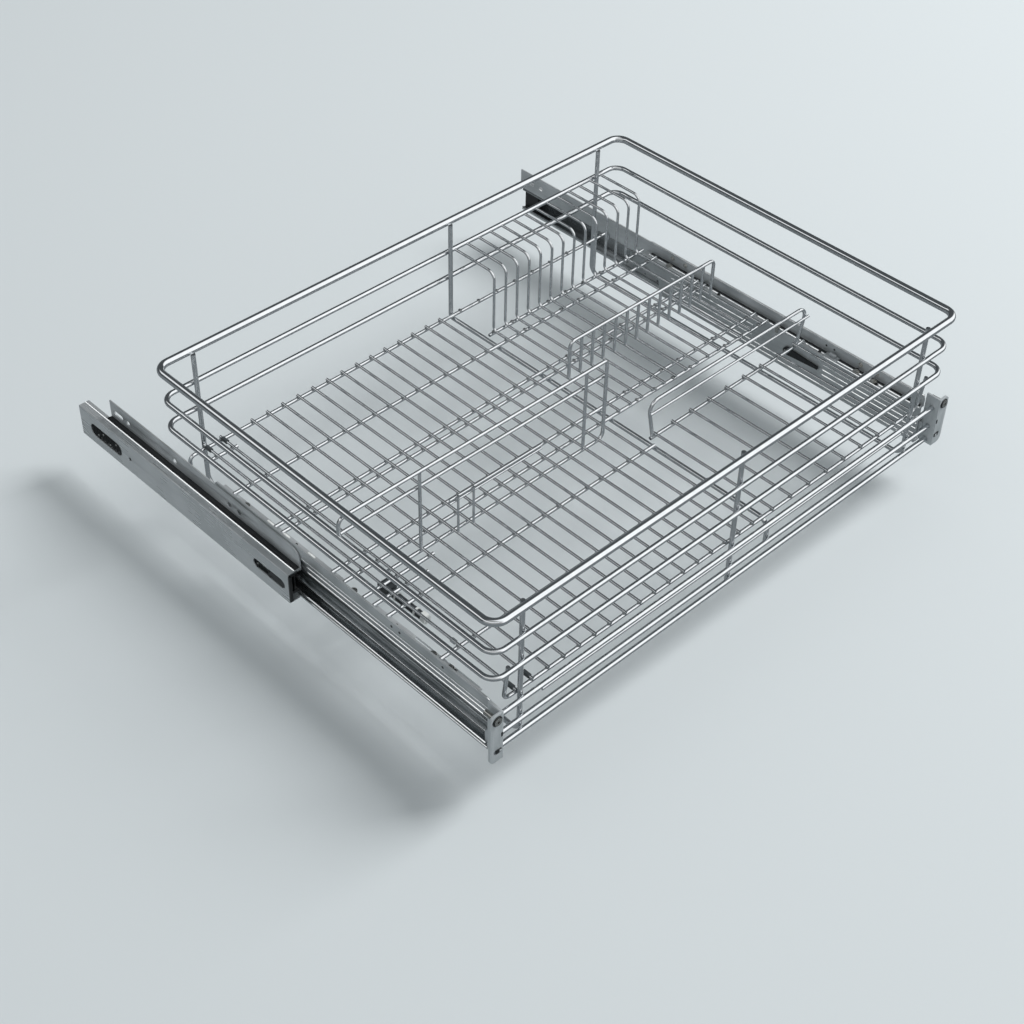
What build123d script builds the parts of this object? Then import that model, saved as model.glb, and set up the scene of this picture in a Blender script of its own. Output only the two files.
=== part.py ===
from build123d import *
import os

# Pull-out dish basket on two ball-bearing runners, drawn partly pulled out.
# Frame: X = 0 in the middle of the width, Y = 0 at the front ends of the cabinet rails with +Y
# to the rear of the cabinet, Z = 0 on the centre line of the runners. All sizes in millimetres.

# Overall sizes
overall_width = 664.0
runner_length = 350.0
pull_out_length = 262.0
weld_gap = 0.05
cut_overrun = 1.0

# Runner: a cabinet rail, an intermediate rail and a drawer rail, one inside the other
cabinet_rail_half_height = 19.0
intermediate_rail_half_height = 14.1
drawer_rail_half_height = 9.7
rail_sheet = 1.2
cabinet_rail_depth = 13.2
intermediate_rail_depth = 12.2
drawer_rail_depth = 9.8
rail_web_gap = 2.6
cabinet_rail_lip = 2.6
intermediate_rail_lip = 2.5
rail_corner_radius = 1.0
nesting_depth = 19.6
intermediate_rail_length = 344.0

# Balls and their cages
outer_ball_diameter = 3.5
inner_ball_diameter = 3.0
cage_sheet = 0.8
cage_length = 160.0
outer_cage_start = 60.0
inner_cage_start = 8.0
cage_hole_gap = 0.15
balls_in_row = 8
ball_inset = 10.0
outer_cage_flange = 8.9
inner_cage_flange = 8.7
inner_ball_edge = 2.0
cage_web_gap = 0.9

# Side bracket that carries the basket on the drawer rail
bracket_sheet = 1.5
bracket_length = 396.0
bracket_flange = 9.0
bracket_strip = 4.0
bracket_lip_gap = 0.5
bracket_upstand_top = 43.0
bracket_upstand_corner = 6.0
bracket_bottom = -19.0
bracket_hem_gap = 0.6
bracket_front_gap = 24.0
bracket_step_length = 24.0
bracket_step_drop = 18.0
bracket_notch_depth = 5.0
bracket_notch_shares = ((0.22, 0.3), (0.42, 0.54))

# Tall side plate on the cabinet rail
side_plate_sheet = 1.5
side_plate_top = 40.0
side_plate_lift = 1.4
side_plate_inset = 3.4
side_plate_pad_length = 12.0
left_plate_share = 0.89
side_plate_nose_radius = 12.0
side_plate_hole = 6.0
side_plate_slot_length = 16.0
side_plate_slot_share = 0.98
side_plate_hole_shares = (0.9, 0.64, 0.35, 0.3)
side_plate_pads_count = 3

# Openings in the web of the cabinet rail
screw_hole_diameter = 4.5
first_screw_y = 37.0
screw_spacing = 224.0
web_slot_width = 9.0
rear_slot_length = 56.0
rear_slot_width = 16.0
rear_slot_inset = 46.0
front_slot_length = 24.0
front_slot_y = 18.0
guard_thickness = 2.0
guard_sheet = 0.6
guard_length = 34.0
guard_nose = 2.0
guard_block_length = 6.0
guard_half_height = 16.0
buffer_length = 66.0
buffer_half_height = 10.0
plug_recess = 0.2
plastic_gap = 0.1
stop_length = 22.0
bumper_length = 4.5
bumper_gap = 0.3

# Basket wires
rim_depth = 473.4
rim_inset = 9.0
rim_rod = 8.0
ring_rod = 5.5
post_rod = 5.0
cross_rod = 4.0
floor_wire = 3.0
thin_wire = 2.5
divider_wire = 4.0
post_wire = 3.5
rim_height = 147.5
upper_ring_drop = 37.0
lower_ring_drop = 70.0
floor_height = 31.7
frame_drop = 18.0
rim_overhang = 10.5
rim_corner = 14.0
turn_up_inset = 24.0
frame_corner = 12.0
frame_inset = 40.0
hook_drop = 10.0
hook_bend = 6.0
front_rod_heights = (30.7, 6.3, -10.7)
inner_rod_diameter = 4.0
inner_rod_shortfall = 22.0

# Floor of the basket
floor_pitch = 20.0
floor_margin = 38.2
centre_share = 0.086
rack_pitch = 17.5
rack_offset = 9.8
compartment_pitch = 28.1
full_rod_shares = (0.819, 0.681, 0.658, 0.5, 0.4626)
left_rod_shares = (0.3323, 0.1789)
left_rod_end_gap = 1.0
compartment_share = 0.3538
rack_foot_share = 0.8618
short_rod_shares = (0.4035, 0.3735)
short_rod_wire_shares = (0.1875, 0.125)
short_rod_overhang = 6.0
corner_rod_share = 0.938
sleeve_diameter = 5.0
sleeve_length = 8.0
sleeve_gap = 0.05

# Plate rack, comb, guard and dividers
rack_bend = 10.0
rack_foot_bend = 6.0
comb_share = 0.617
comb_height = 82.3
comb_bend = 7.0
guard_height = 80.4
guard_step = 11.7
guard_lean = 10.0
guard_bend = 12.0
divider_share = 0.4273
divider_height = 131.0
divider_rail_height = 108.6
divider_right_inset = 31.4
divider_bend = 8.0
divider_top_bend = 5.0
divider_post_shares = (0.1875, 0.875)
spoon_rest_height = 83.0
spoon_rest_step = 4.6
spoon_rest_post_shares = (0.3125, 0.375)
spoon_rest_length = 122.0
spoon_rest_setback = 9.0

# Front connectors
connector_width = 15.5
connector_side_gap = 0.5
connector_top = 45.0
connector_bottom = -16.0
connector_depth = 17.4
connector_wall = 2.5
connector_face_gap = 0.1
connector_corner = 6.0
connector_screw_z = 37.5
connector_screw_diameter = 6.0
connector_screw_inset = 7.5
connector_head_diameter = 8.5
connector_head_height = 2.0
connector_socket_diameter = 3.0
connector_slot_width = 7.0
connector_slot_height = 5.0
connector_slot_z = -3.0
connector_tongue_length = 40.0
rod_hole_gap = 0.1
rod_seat = 3.0

# Screws on the side bracket, release levers and the damper
bracket_screw_diameter = 4.0
bracket_screw_head = 7.5
bracket_screw_head_height = 1.6
bracket_screw_length = 6.0
bracket_screw_shares = (0.151, 0.2, 0.433, 0.775)
lever_length = 44.0
lever_height = 9.0
lever_thickness = 2.4
lever_share = 0.45
lever_nose = 3.0
lever_z = 6.0
lever_pin_diameter = 3.0
lever_pin_head = 5.0
lever_pin_head_height = 1.0
lever_gap = 0.3
damper_inset = 45.5
damper_diameter = 8.0
damper_length = 60.0
damper_bore = 5.0
damper_rear_share = 0.415
damper_wall = 3.0
damper_rod_diameter = 2.5
damper_stroke = 32.0
damper_end_gap = 3.0
damper_piston_length = 6.0
damper_tip_diameter = 5.0
damper_tip_length = 5.0
damper_gap = 0.05
clamp_width = 12.0
clamp_length = 14.0
clamp_base = 2.0
clamp_grip_share = 0.75

os.makedirs("parts", exist_ok=True)

# Places worked out from the sizes above. Distances s run outwards from the middle to one side.
slide_outer = overall_width / 2
cabinet_tip = slide_outer - cabinet_rail_depth
intermediate_face = slide_outer - rail_sheet - rail_web_gap
intermediate_tip = intermediate_face - intermediate_rail_depth
drawer_face = slide_outer - nesting_depth - rail_sheet
drawer_tip = drawer_face + drawer_rail_depth
bracket_face = drawer_face - bracket_sheet
bracket_top = floor_height - cross_rod / 2 - weld_gap
side_plate_inner = cabinet_tip - side_plate_inset
bracket_lip_s = side_plate_inner - bracket_lip_gap
bracket_hem_s = cabinet_tip - bracket_hem_gap
side_plate_bottom = intermediate_rail_half_height + side_plate_lift
rail_front = -pull_out_length
intermediate_front = (runner_length - intermediate_rail_length) / 2
rim_front = rail_front - rim_overhang
rim_back = rim_front + rim_depth
rim_half = slide_outer - rim_inset
post_inset = rim_rod / 2 + post_rod / 2 + weld_gap
ring_inset = rim_rod / 2 - ring_rod / 2
post_front = rim_front + post_inset
post_back = rim_back - post_inset
front_rod_y = post_front - post_rod / 2 - ring_rod / 2 - weld_gap
end_rod_inset = post_inset + post_rod / 2 + cross_rod / 2 + weld_gap
front_floor_y = rim_front + end_rod_inset
back_floor_y = rim_back - end_rod_inset
upper_ring_z = rim_height - upper_ring_drop
lower_ring_z = rim_height - lower_ring_drop
wire_z = floor_height + cross_rod / 2 + floor_wire / 2 + weld_gap
wire_top = wire_z + floor_wire / 2 + weld_gap
wire_front = front_floor_y - cross_rod / 2
wire_back = back_floor_y + cross_rod / 2
frame_x = rim_half - frame_inset
centre_x = centre_share * 2 * rim_half
rack_first_x = centre_x + rack_offset
rod_end = bracket_face + bracket_sheet - bracket_flange / 2


def depth_y(share):
    """Y of a place given as a share of the basket's depth."""
    return rim_front + share * rim_depth


def straight_rod(start, end, diameter):
    """A straight round rod between two points."""
    with BuildPart() as rod:
        with BuildLine() as axis:
            Line(start, end)
        with BuildSketch(Plane(origin=axis.line @ 0, z_dir=axis.line % 0)):
            Circle(diameter / 2)
        sweep(path=axis.line)
    return rod.part


def bent_rod(points, bends, diameter, closed=False):
    """A round rod bent along the points, with one bend radius or a list of them."""
    with BuildPart() as rod:
        with BuildLine() as axis:
            FilletPolyline(*points, radius=bends, close=closed)
        with BuildSketch(Plane(origin=axis.line @ 0, z_dir=axis.line % 0)):
            Circle(diameter / 2)
        sweep(path=axis.line)
    return rod.part


def wire_ring(inset, height, diameter, corner):
    """A closed rectangular ring of round rod with rounded corners."""
    left = -rim_half + inset
    front = rim_front + inset
    back = rim_back - inset
    # The path starts in the middle of the front, so that its seam lies on a straight stretch.
    corners = [(0, front, height), (-left, front, height), (-left, back, height),
               (left, back, height), (left, front, height)]
    with BuildPart() as ring:
        with BuildLine() as axis:
            FilletPolyline(*corners, (0, front, height), radius=[0] + [corner] * 4, close=True)
        with BuildSketch(Plane(origin=axis.line @ 0, z_dir=axis.line % 0)):
            Circle(diameter / 2)
        sweep(path=axis.line)
    return ring.part


def channel(web_face, depth, half_height, lip, front, length, inwards):
    """A C-shaped rail of bent sheet, with its web at web_face and its flanges depth long."""
    way = -1 if inwards else 1
    tip = web_face + way * depth
    inner = web_face + way * rail_sheet
    lip_face = tip - way * rail_sheet
    flat = half_height - rail_sheet
    hook = half_height - lip
    with BuildPart() as rail:
        with BuildSketch(Plane.XZ.offset(-(front + length))) as profile:
            with BuildLine():
                Polyline((web_face, -half_height), (tip, -half_height), (tip, -hook),
                         (lip_face, -hook), (lip_face, -flat), (inner, -flat), (inner, flat),
                         (lip_face, flat), (lip_face, hook), (tip, hook), (tip, half_height),
                         (web_face, half_height), close=True)
            make_face()
            outer = [v for v in profile.vertices() if abs(abs(v.Y) - half_height) < weld_gap]
            fillet(outer, rail_corner_radius)
        extrude(amount=length)
    return rail.part


def plain_channel(web_face, depth, half_height, front, length):
    """The drawer rail: a C-shaped rail with flanges that point outwards and have no lip."""
    tip = web_face + depth
    inner = web_face + rail_sheet
    flat = half_height - rail_sheet
    with BuildPart() as rail:
        with BuildSketch(Plane.XZ.offset(-(front + length))) as profile:
            with BuildLine():
                Polyline((web_face, -half_height), (tip, -half_height), (tip, -flat),
                         (inner, -flat), (inner, flat), (tip, flat), (tip, half_height),
                         (web_face, half_height), close=True)
            make_face()
            outer = profile.vertices().group_by(Axis.X)[0]
            fillet(outer, rail_corner_radius)
        extrude(amount=length)
    return rail.part


def cage(web_face, flange_length, ball_z, ball_s, ball_diameter, front):
    """A sheet cage with a row of holes for balls in each flange."""
    tip = web_face - flange_length
    half_height = ball_z + cage_sheet / 2
    flat = half_height - cage_sheet
    inner = web_face - cage_sheet
    pitch = (cage_length - 2 * ball_inset) / (balls_in_row - 1)
    with BuildPart() as body:
        with BuildSketch(Plane.XZ.offset(-(front + cage_length))):
            with BuildLine():
                Polyline((web_face, -half_height), (tip, -half_height), (tip, -flat),
                         (inner, -flat), (inner, flat), (tip, flat), (tip, half_height),
                         (web_face, half_height), close=True)
            make_face()
        extrude(amount=cage_length)
        with BuildSketch(Plane.XY.offset(-half_height)):
            with Locations((ball_s, front + cage_length / 2)):
                with GridLocations(0, pitch, 1, balls_in_row):
                    Circle(ball_diameter / 2 + cage_hole_gap)
        extrude(amount=2 * half_height, mode=Mode.SUBTRACT)
    return body.part


def ball_rows(ball_z, ball_s, ball_diameter, front):
    """Two rows of balls, one above and one below the middle of the runner."""
    pitch = (cage_length - 2 * ball_inset) / (balls_in_row - 1)
    with BuildPart() as balls:
        for row_z in (-ball_z, ball_z):
            for i in range(balls_in_row):
                with Locations((ball_s, front + ball_inset + i * pitch, row_z)):
                    Sphere(ball_diameter / 2)
    return balls.part


def other_side(part):
    """The same piece for the left side."""
    with BuildPart() as mirrored:
        mirror(part, about=Plane.YZ)
    return mirrored.part


def keep(part, label):
    """Name a finished piece and write it."""
    part.label = label
    export_step(part, "parts/" + label + ".step")


def keep_pair(part, label):
    """Write a right-hand piece and its left-hand mirror image."""
    left = other_side(part)
    keep(part, label + "_right")
    keep(left, label + "_left")


# Cabinet rails, screwed to the cabinet's sides through the two round holes in the web
with BuildPart() as cabinet_rail:
    add(channel(slide_outer, cabinet_rail_depth, cabinet_rail_half_height, cabinet_rail_lip,
                0, runner_length, True))
    web_plane = Plane(origin=(slide_outer + cut_overrun, 0, 0), x_dir=(0, 1, 0), z_dir=(1, 0, 0))
    with BuildSketch(web_plane):
        with Locations((first_screw_y, 0), (first_screw_y + screw_spacing, 0)):
            Circle(screw_hole_diameter / 2)
        rear_slot_y = runner_length - rear_slot_inset
        with Locations((rear_slot_y, 0)):
            SlotOverall(rear_slot_length, rear_slot_width)
        with Locations((front_slot_y, 0)):
            SlotOverall(front_slot_length, web_slot_width)
    extrude(amount=-(rail_sheet + 2 * cut_overrun), mode=Mode.SUBTRACT)
keep_pair(cabinet_rail.part, "cabinet_rail")


def side_plate(length):
    """A tall side plate, with raised pads on its outer face that are welded to the rail's lip."""
    pad_pitch = (length - side_plate_pad_length) / (side_plate_pads_count - 1)
    pad_height = cabinet_rail_lip - weld_gap
    pad_face = side_plate_inner + side_plate_sheet
    hole_z = (side_plate_bottom + side_plate_top) / 2
    slot_y = side_plate_slot_share * length - side_plate_slot_length / 2
    with BuildPart() as plate:
        plate_plane = Plane(origin=(side_plate_inner, 0, 0), x_dir=(0, 1, 0), z_dir=(1, 0, 0))
        with BuildSketch(plate_plane) as outline:
            with Locations((0, side_plate_bottom)):
                Rectangle(length, side_plate_top - side_plate_bottom,
                          align=(Align.MIN, Align.MIN))
            top_front = outline.vertices().group_by(Axis.Y)[-1].sort_by(Axis.X)[0]
            fillet(top_front, side_plate_nose_radius)
            with Locations((slot_y, hole_z)):
                SlotOverall(side_plate_slot_length, side_plate_hole, mode=Mode.SUBTRACT)
            with Locations(*[(share * length, hole_z) for share in side_plate_hole_shares]):
                Circle(side_plate_hole / 2, mode=Mode.SUBTRACT)
        extrude(amount=side_plate_sheet)
        with BuildSketch(Plane(origin=(pad_face, 0, 0), x_dir=(0, 1, 0), z_dir=(1, 0, 0))):
            for i in range(side_plate_pads_count):
                with Locations((i * pad_pitch, cabinet_rail_half_height - cabinet_rail_lip)):
                    Rectangle(side_plate_pad_length, pad_height, align=(Align.MIN, Align.MIN))
        extrude(amount=cabinet_tip - weld_gap - pad_face)
    return plate.part


# Tall side plates, inside the lips of the cabinet rails; the left one ends before its rail does
keep(side_plate(runner_length), "side_plate_right")
keep(other_side(side_plate(left_plate_share * runner_length)), "side_plate_left")

# Plastic guards that close the front end of each cabinet rail and show in its front slot
with BuildPart() as rail_guard:
    guard_face = slide_outer - rail_sheet - plastic_gap
    guard_plane = Plane(origin=(guard_face, 0, 0), x_dir=(0, 1, 0), z_dir=(-1, 0, 0))
    with BuildSketch(guard_plane):
        with Locations((-guard_nose, 0)):
            Rectangle(guard_length + guard_nose, 2 * guard_half_height,
                      align=(Align.MIN, Align.CENTER))
        with Locations((first_screw_y, 0)):
            Circle(web_slot_width / 2, mode=Mode.SUBTRACT)
    extrude(amount=guard_sheet)
    with BuildSketch(guard_plane):
        with Locations((-guard_nose, 0)):
            Rectangle(guard_block_length, 2 * guard_half_height,
                      align=(Align.MIN, Align.CENTER))
    extrude(amount=guard_thickness)
    with BuildSketch(Plane(origin=(guard_face, 0, 0), x_dir=(0, 1, 0), z_dir=(1, 0, 0))):
        with Locations((front_slot_y, 0)):
            SlotOverall(front_slot_length - 2 * plastic_gap, web_slot_width - 2 * plastic_gap)
    extrude(amount=plastic_gap + rail_sheet - plug_recess)
    with BuildSketch(guard_plane):
        with Locations((-guard_nose, 0)):
            Rectangle(guard_nose - plastic_gap, 2 * guard_half_height,
                      align=(Align.MIN, Align.CENTER))
    extrude(amount=-(plastic_gap + rail_sheet))
keep_pair(rail_guard.part, "rail_guard")

# Plastic buffers in the rear slots of the cabinet rails
with BuildPart() as rear_buffer:
    with BuildSketch(Plane(origin=(guard_face, 0, 0), x_dir=(0, 1, 0), z_dir=(-1, 0, 0))):
        with Locations((rear_slot_y, 0)):
            Rectangle(buffer_length, 2 * buffer_half_height)
    extrude(amount=guard_thickness)
    with BuildSketch(Plane(origin=(guard_face, 0, 0), x_dir=(0, 1, 0), z_dir=(1, 0, 0))):
        with Locations((rear_slot_y, 0)):
            SlotOverall(rear_slot_length - 2 * plastic_gap, rear_slot_width - 2 * plastic_gap)
    extrude(amount=plastic_gap + rail_sheet - plug_recess)
    mirror(about=Plane.YZ)
keep(rear_buffer.part, "rear_buffers")

# Intermediate rails, still inside the cabinet rails, because the drawer rails run out first
keep_pair(channel(intermediate_face, intermediate_rail_depth, intermediate_rail_half_height,
                  intermediate_rail_lip, intermediate_front, intermediate_rail_length, True),
          "intermediate_rail")

# Plastic stops at the rear ends of the intermediate rails, and bumpers at their front ends
with BuildPart() as stop:
    stop_face = intermediate_face - rail_sheet - plastic_gap
    stop_thickness = stop_face - drawer_tip - lever_gap
    stop_half_height = intermediate_rail_half_height - rail_sheet - plastic_gap
    intermediate_rear = intermediate_front + intermediate_rail_length
    with BuildSketch(Plane.XZ.offset(-intermediate_rear)):
        with Locations((stop_face, 0)):
            Rectangle(stop_thickness, 2 * stop_half_height, align=(Align.MAX, Align.CENTER))
    extrude(amount=stop_length)
    bumper_inner = drawer_rail_half_height + bumper_gap
    bumper_tip = intermediate_tip + rail_sheet
    with BuildSketch(Plane.XZ.offset(-(intermediate_front + bumper_length))):
        with Locations((stop_face, 0)):
            Rectangle(stop_face - bumper_tip, 2 * stop_half_height,
                      align=(Align.MAX, Align.CENTER))
            Rectangle(stop_face - bumper_tip - stop_thickness, 2 * bumper_inner,
                      align=(Align.MAX, Align.CENTER), mode=Mode.SUBTRACT)
        with Locations((bumper_tip, 0)):
            Rectangle(stop_face - bumper_tip - stop_thickness, 2 * bumper_inner,
                      align=(Align.MIN, Align.CENTER), mode=Mode.SUBTRACT)
    extrude(amount=bumper_length)
keep_pair(stop.part, "intermediate_stop")

# Ball cages and balls between the rails. An inner cage has run out half as far as its drawer rail.
outer_ball_z = (cabinet_rail_half_height - rail_sheet + intermediate_rail_half_height) / 2
inner_ball_z = (intermediate_rail_half_height - rail_sheet + drawer_rail_half_height) / 2
outer_cage_front = outer_cage_start
inner_cage_front = intermediate_front + inner_cage_start
outer_cage_face = slide_outer - rail_sheet - cage_web_gap
inner_cage_face = intermediate_face - rail_sheet - cage_web_gap
outer_ball_s = outer_cage_face - outer_cage_flange / 2
inner_ball_s = inner_cage_face - inner_cage_flange + inner_ball_edge
keep_pair(cage(outer_cage_face, outer_cage_flange, outer_ball_z, outer_ball_s,
               outer_ball_diameter, outer_cage_front), "outer_ball_cage")
keep_pair(ball_rows(outer_ball_z, outer_ball_s, outer_ball_diameter, outer_cage_front),
          "outer_balls")
keep_pair(cage(inner_cage_face, inner_cage_flange, inner_ball_z, inner_ball_s,
               inner_ball_diameter, inner_cage_front), "inner_ball_cage")
keep_pair(ball_rows(inner_ball_z, inner_ball_s, inner_ball_diameter, inner_cage_front),
          "inner_balls")

# Drawer rails, which carry the side brackets
keep_pair(plain_channel(drawer_face, drawer_rail_depth, drawer_rail_half_height, rail_front,
                        runner_length), "drawer_rail")

# Side brackets: a wall beside the drawer rail, a flange on top that the basket rests on, an
# upstand along the flange's outer edge and a hem below
bracket_front = rail_front
bracket_rear = bracket_front + bracket_length
lever_y = bracket_front + lever_share * bracket_length
screw_places = [(rod_end, depth_y(share)) for share in bracket_screw_shares]
with BuildPart() as side_bracket:
    wall_plane = Plane(origin=(bracket_face, 0, 0), x_dir=(0, 1, 0), z_dir=(1, 0, 0))
    with BuildSketch(wall_plane):
        with BuildLine():
            Polyline((bracket_front, bracket_bottom),
                     (bracket_rear - bracket_step_length, bracket_bottom),
                     (bracket_rear - bracket_step_length, 0),
                     (bracket_rear, bracket_top - bracket_step_drop),
                     (bracket_rear, bracket_top), (bracket_front, bracket_top), close=True)
        make_face()
        with Locations((lever_y, lever_z)):
            Circle(lever_pin_diameter / 2 + damper_gap, mode=Mode.SUBTRACT)
    extrude(amount=bracket_sheet)
    with BuildSketch(Plane.XY.offset(bracket_top)):
        notch_s = bracket_face + bracket_sheet - bracket_flange
        with Locations((bracket_lip_s, bracket_front)):
            Rectangle(bracket_lip_s - notch_s, bracket_length, align=(Align.MAX, Align.MIN))
        with Locations((notch_s, bracket_front)):
            Rectangle(bracket_strip, bracket_front_gap, align=(Align.MIN, Align.MIN),
                      mode=Mode.SUBTRACT)
        notch_inner = notch_s + bracket_notch_depth
        for start_share, end_share in bracket_notch_shares:
            notch_start = bracket_front + start_share * bracket_length
            notch_end = bracket_front + end_share * bracket_length
            with BuildLine():
                Polyline((notch_s, notch_start), (notch_inner, notch_start + bracket_notch_depth),
                         (notch_inner, notch_end - bracket_notch_depth), (notch_s, notch_end),
                         close=True)
            make_face(mode=Mode.SUBTRACT)
        with Locations(*screw_places):
            Circle(bracket_screw_diameter / 2 + plastic_gap, mode=Mode.SUBTRACT)
    extrude(amount=-bracket_sheet)
    lip_plane = Plane(origin=(bracket_lip_s, 0, 0), x_dir=(0, 1, 0), z_dir=(1, 0, 0))
    with BuildSketch(lip_plane) as upstand:
        with Locations((bracket_front, bracket_top - bracket_sheet)):
            Rectangle(bracket_length, bracket_upstand_top - bracket_top + bracket_sheet,
                      align=(Align.MIN, Align.MIN))
        fillet(upstand.vertices().group_by(Axis.Y)[-1], bracket_upstand_corner)
    extrude(amount=-bracket_sheet)
    with BuildSketch(Plane.XY.offset(bracket_bottom)):
        with Locations((bracket_face + bracket_sheet, bracket_front)):
            Rectangle(bracket_hem_s - bracket_face - bracket_sheet,
                      bracket_length - bracket_step_length, align=(Align.MIN, Align.MIN))
    extrude(amount=bracket_sheet)
keep_pair(side_bracket.part, "side_bracket")

# Front connectors: a rounded front plate, an inner cheek that the front rods enter, and a tongue
# that lies inside the drawer rail
cheek_s = slide_outer - connector_side_gap - connector_width
connector_front = rail_front - connector_face_gap - connector_depth
with BuildPart() as connector:
    with BuildSketch(Plane.XZ.offset(-(connector_front + connector_wall))) as front_face:
        with Locations((cheek_s, connector_bottom)):
            Rectangle(connector_width, connector_top - connector_bottom,
                      align=(Align.MIN, Align.MIN))
        outer_corners = front_face.vertices().group_by(Axis.X)[-1]
        fillet(outer_corners, connector_corner)
        with Locations((cheek_s + connector_screw_inset, connector_screw_z)):
            Circle(connector_screw_diameter / 2, mode=Mode.SUBTRACT)
        with Locations((cheek_s + connector_screw_inset, connector_slot_z)):
            SlotOverall(connector_slot_width, connector_slot_height, mode=Mode.SUBTRACT)
    extrude(amount=connector_wall)
    with BuildSketch(Plane.YZ.offset(cheek_s)):
        with Locations((connector_front + connector_wall, connector_top)):
            Rectangle(connector_depth - connector_wall, connector_top - connector_bottom,
                      align=(Align.MIN, Align.MAX))
    extrude(amount=connector_wall)
    with BuildSketch(Plane.YZ.offset(cheek_s - cut_overrun)):
        for rod_z in front_rod_heights:
            with Locations((front_rod_y, rod_z)):
                Circle(ring_rod / 2 + rod_hole_gap)
    extrude(amount=connector_wall + 2 * cut_overrun, mode=Mode.SUBTRACT)
    tongue_s = drawer_face + rail_sheet + plastic_gap
    tongue_half = drawer_rail_half_height - rail_sheet - plastic_gap
    with BuildSketch(Plane.YZ.offset(tongue_s)):
        with Locations((rail_front - connector_wall, 0)):
            Rectangle(connector_tongue_length, 2 * tongue_half, align=(Align.MIN, Align.CENTER))
    extrude(amount=cheek_s + connector_wall - tongue_s)
keep_pair(connector.part, "front_connector")

# Screws: one in each front connector and four down through each bracket's top flange
with BuildPart() as screws:
    screw_s = cheek_s + connector_screw_inset
    with BuildSketch(Plane.XZ.offset(-(connector_front + connector_depth - connector_wall))):
        with Locations((screw_s, connector_screw_z)):
            Circle(connector_screw_diameter / 2 - plastic_gap)
    extrude(amount=connector_depth - connector_wall)
    with BuildSketch(Plane.XZ.offset(-connector_front)):
        with Locations((screw_s, connector_screw_z)):
            Circle(connector_head_diameter / 2)
            RegularPolygon(connector_socket_diameter / 2, 6, mode=Mode.SUBTRACT)
    extrude(amount=connector_head_height)
    with BuildSketch(Plane.XY.offset(bracket_top - bracket_screw_length)):
        with Locations(*screw_places):
            Circle(bracket_screw_diameter / 2)
    extrude(amount=bracket_screw_length)
    with BuildSketch(Plane.XY.offset(bracket_top)):
        with Locations(*screw_places):
            Circle(bracket_screw_head / 2)
    extrude(amount=bracket_screw_head_height)
    mirror(about=Plane.YZ)
keep(screws.part, "screws")

# Release levers, which turn on a pin in the wall of each side bracket
lever_face = bracket_face - lever_gap
with BuildPart() as lever:
    with BuildSketch(Plane.YZ.offset(lever_face - lever_thickness)) as lever_outline:
        with Locations((lever_y, lever_z)):
            Circle(lever_height / 2)
        with BuildLine():
            Polyline((lever_y, lever_z - lever_height / 2), (lever_y, lever_z + lever_height / 2),
                     (lever_y - lever_length, lever_z + lever_height / 2 - lever_nose),
                     (lever_y - lever_length, lever_z - lever_height / 2 + lever_nose), close=True)
        make_face()
        with Locations((lever_y, lever_z)):
            Circle(lever_pin_diameter / 2 + damper_gap, mode=Mode.SUBTRACT)
    extrude(amount=lever_thickness)
keep_pair(lever.part, "release_lever")

with BuildPart() as lever_pins:
    pin_inner = lever_face - lever_thickness - lever_gap
    with BuildSketch(Plane.YZ.offset(pin_inner)):
        with Locations((lever_y, lever_z)):
            Circle(lever_pin_diameter / 2)
    extrude(amount=bracket_face + bracket_sheet - pin_inner)
    with BuildSketch(Plane.YZ.offset(pin_inner)):
        with Locations((lever_y, lever_z)):
            Circle(lever_pin_head / 2)
    extrude(amount=-lever_pin_head_height)
    mirror(about=Plane.YZ)
keep(lever_pins.part, "lever_pins")

# Three front rods between the connectors, and a thinner one under the top rod
rod_reach = cheek_s + connector_wall + rod_seat
with BuildPart() as front_rods:
    for rod_z in front_rod_heights:
        add(straight_rod((-rod_reach, front_rod_y, rod_z), (rod_reach, front_rod_y, rod_z),
                         ring_rod))
keep(front_rods.part, "front_rods")

inner_rod_z = front_rod_heights[0] - ring_rod / 2 - inner_rod_diameter / 2 - weld_gap
inner_rod_x = frame_x - inner_rod_shortfall
with BuildPart() as front_inner_rod:
    add(straight_rod((-inner_rod_x, front_rod_y, inner_rod_z),
                     (inner_rod_x, front_rod_y, inner_rod_z), inner_rod_diameter))
keep(front_inner_rod.part, "front_inner_rod")

# Rim and the two rings below it
keep(wire_ring(0, rim_height, rim_rod, rim_corner), "rim")
keep(wire_ring(ring_inset, upper_ring_z, ring_rod, rim_corner), "upper_ring")
keep(wire_ring(ring_inset, lower_ring_z, ring_rod, rim_corner), "lower_ring")

# Side frames: a post at the front and one at the back, joined by a rail below the floor
side_frame = bent_rod([(frame_x, post_front, rim_height), (frame_x, post_front, -frame_drop),
                       (frame_x, post_back, -frame_drop), (frame_x, post_back, rim_height)],
                      frame_corner, post_rod)
keep_pair(side_frame, "side_frame")

# Centre frame: a post at the back that runs forward under the floor and hooks down at the front
centre_z = floor_height - cross_rod / 2 - post_rod / 2 - weld_gap
centre_hook_z = front_rod_heights[1] - ring_rod
wrap_bend = (post_rod + cross_rod) / 2 + weld_gap
centre_frame = bent_rod([(centre_x, post_back, rim_height), (centre_x, post_back, centre_z),
                         (centre_x, post_front, centre_z), (centre_x, post_front, centre_hook_z)],
                        [wrap_bend, frame_corner], post_rod)
keep(centre_frame, "centre_frame")

# Front post, from the rim down to the lowest front rod
front_post = straight_rod((0, post_front, rim_height),
                          (0, post_front, front_rod_heights[2] - post_rod), post_rod)
keep(front_post, "front_post")

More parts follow.
